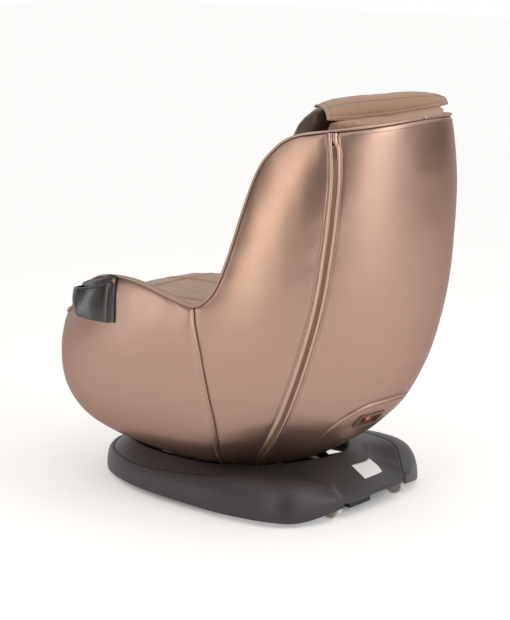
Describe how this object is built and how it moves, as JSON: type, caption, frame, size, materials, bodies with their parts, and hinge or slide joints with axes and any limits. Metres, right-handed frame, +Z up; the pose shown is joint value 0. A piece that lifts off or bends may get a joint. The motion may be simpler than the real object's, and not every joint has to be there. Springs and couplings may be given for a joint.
{
  "type": "massage armchair",
  "caption": "Egg-shaped upholstered massage armchair with winged back, slip-on head pillow and side pocket, tilting on a low base with transport wheels.",
  "frame": {"origin": "on the floor under the middle of the chair", "axes": "+Z up, the front of the seat faces -Y, the left arm is on +X"},
  "size_m": [0.7282, 0.9501, 0.9588],
  "materials": {
    "bronze_leather": "pearlescent, finely ribbed grain",
    "beige_leather": "soft padded, fine grain",
    "brown_leather": "soft, wrinkled",
    "dark_plastic": "fine moulded texture",
    "black_plastic": "moulded",
    "frame_steel": "satin black powder coat",
    "bright_steel": "ground",
    "foot_rubber": "matt",
    "wheel_plastic": "milky, slightly clear",
    "roller_plastic": "moulded nylon",
    "board": "plywood",
    "case_aluminium": "folded sheet",
    "pocket_fabric": "coated cloth with a bound hem",
    "chrome": "polished",
    "red_plastic": "translucent rocker"
  },
  "bodies": {
    "base": {"base_frame": "frame_steel", "base_center_cover": "dark_plastic", "base_left_cover": "dark_plastic", "base_right_cover": "dark_plastic", "base_feet": "foot_rubber", "rear_foot_block": "black_plastic", "wheel_brackets": "frame_steel", "tilt_pins": "bright_steel", "actuator_lower_pin": "bright_steel"},
    "seat": {"bottom_pan": "dark_plastic", "tilt_lugs": "frame_steel", "seat_frame": "frame_steel", "seat_board": "board", "guide_rails": "frame_steel", "left_arm_panel": "bronze_leather", "right_arm_panel": "bronze_leather", "front_panel": "bronze_leather", "left_side_panel": "bronze_leather", "right_side_panel": "bronze_leather", "back_panel": "bronze_leather", "tail_panel": "bronze_leather", "left_rim_band": "bronze_leather", "right_rim_band": "bronze_leather", "left_arm_piping": "bronze_leather", "right_arm_piping": "bronze_leather", "left_rear_zip": "bronze_leather", "right_rear_zip": "bronze_leather", "left_arm_pad": "beige_leather", "right_arm_pad": "beige_leather", "left_wing_pad": "beige_leather", "right_wing_pad": "beige_leather", "seat_cushion": "beige_leather", "back_cushion": "beige_leather", "top_pad": "beige_leather", "head_pillow": "brown_leather", "pillow_flap": "beige_leather", "service_bezel": "dark_plastic", "power_inlet": "black_plastic", "side_pocket": "pocket_fabric", "pocket_strap": "pocket_fabric", "pocket_stud": "chrome", "actuator_upper_pin": "bright_steel", "control_box": "dark_plastic", "power_supply": "case_aluminium", "air_pump": "black_plastic"},
    "carriage": {"carriage_frame": "frame_steel", "carriage_motor": "dark_plastic", "arm_shaft": "bright_steel"},
    "left_wheel": {"left_wheel": "wheel_plastic"},
    "right_wheel": {"right_wheel": "wheel_plastic"},
    "actuator_tube": {"actuator_tube": "frame_steel"},
    "actuator_rod": {"actuator_rod": "bright_steel"},
    "drive_shaft": {"drive_shaft": "bright_steel"},
    "left_massage_arm": {"left_massage_arm": "frame_steel"},
    "right_massage_arm": {"right_massage_arm": "frame_steel"},
    "left_upper_roller": {"left_upper_roller": "roller_plastic"},
    "left_lower_roller": {"left_lower_roller": "roller_plastic"},
    "right_upper_roller": {"right_upper_roller": "roller_plastic"},
    "right_lower_roller": {"right_lower_roller": "roller_plastic"},
    "power_switch": {"power_switch": "red_plastic"}
  },
  "joints": [
    {"name": "tilt", "type": "hinge", "parent": "base", "child": "seat", "pos_m": [0, 0.205, 0.08], "axis": [-1, 0, 0], "range_deg": [0, 12]},
    {"name": "actuator_swing", "type": "hinge", "parent": "base", "child": "actuator_tube", "pos_m": [0, -0.15, 0.05], "axis": [-1, 0, 0], "range_deg": [0, 5]},
    {"name": "actuator_stroke", "type": "slide", "parent": "actuator_tube", "child": "actuator_rod", "axis": [0, 0.4027, 0.9153], "range_m": [0, 0.066]},
    {"name": "left_wheel_spin", "type": "hinge", "parent": "base", "child": "left_wheel", "pos_m": [0.123, 0.308, 0.026], "axis": [1, 0, 0], "continuous": true},
    {"name": "right_wheel_spin", "type": "hinge", "parent": "base", "child": "right_wheel", "pos_m": [-0.123, 0.308, 0.026], "axis": [1, 0, 0], "continuous": true},
    {"name": "carriage_lift", "type": "hinge", "parent": "seat", "child": "carriage", "pos_m": [0, -0.59, 0.86], "axis": [1, 0, 0], "range_deg": [0, 14]},
    {"name": "drive_spin", "type": "hinge", "parent": "carriage", "child": "drive_shaft", "pos_m": [0, 0.27147, 0.47645], "axis": [1, 0, 0], "range_deg": [0, 540]},
    {"name": "left_arm_rock", "type": "hinge", "parent": "carriage", "child": "left_massage_arm", "pos_m": [0.058, 0.23676, 0.4919], "axis": [1, 0, 0], "range_deg": [-8, 8]},
    {"name": "right_arm_rock", "type": "hinge", "parent": "carriage", "child": "right_massage_arm", "pos_m": [-0.058, 0.23676, 0.4919], "axis": [1, 0, 0], "range_deg": [-8, 8]},
    {"name": "left_upper_roller_spin", "type": "hinge", "parent": "left_massage_arm", "child": "left_upper_roller", "pos_m": [0.08, 0.21985, 0.55964], "axis": [1, 0, 0], "continuous": true},
    {"name": "left_lower_roller_spin", "type": "hinge", "parent": "left_massage_arm", "child": "left_lower_roller", "pos_m": [0.08, 0.17511, 0.45914], "axis": [1, 0, 0], "continuous": true},
    {"name": "right_upper_roller_spin", "type": "hinge", "parent": "right_massage_arm", "child": "right_upper_roller", "pos_m": [-0.08, 0.21985, 0.55964], "axis": [1, 0, 0], "continuous": true},
    {"name": "right_lower_roller_spin", "type": "hinge", "parent": "right_massage_arm", "child": "right_lower_roller", "pos_m": [-0.08, 0.17511, 0.45914], "axis": [1, 0, 0], "continuous": true},
    {"name": "switch_rock", "type": "hinge", "parent": "seat", "child": "power_switch", "pos_m": [0.02086, 0.33179, 0.22448], "axis": [-0.9954, 0.0954, 0], "range_deg": [0, 14]}
  ],
  "couplings": [
    {"joint": "actuator_swing", "follows": "tilt", "ratio": 0.4},
    {"joint": "actuator_stroke", "follows": "tilt", "m_per_rad": 0.3055},
    {"joint": "drive_spin", "follows": "carriage_lift", "ratio": 38.292},
    {"joint": "right_arm_rock", "follows": "left_arm_rock", "ratio": -1}
  ]
}
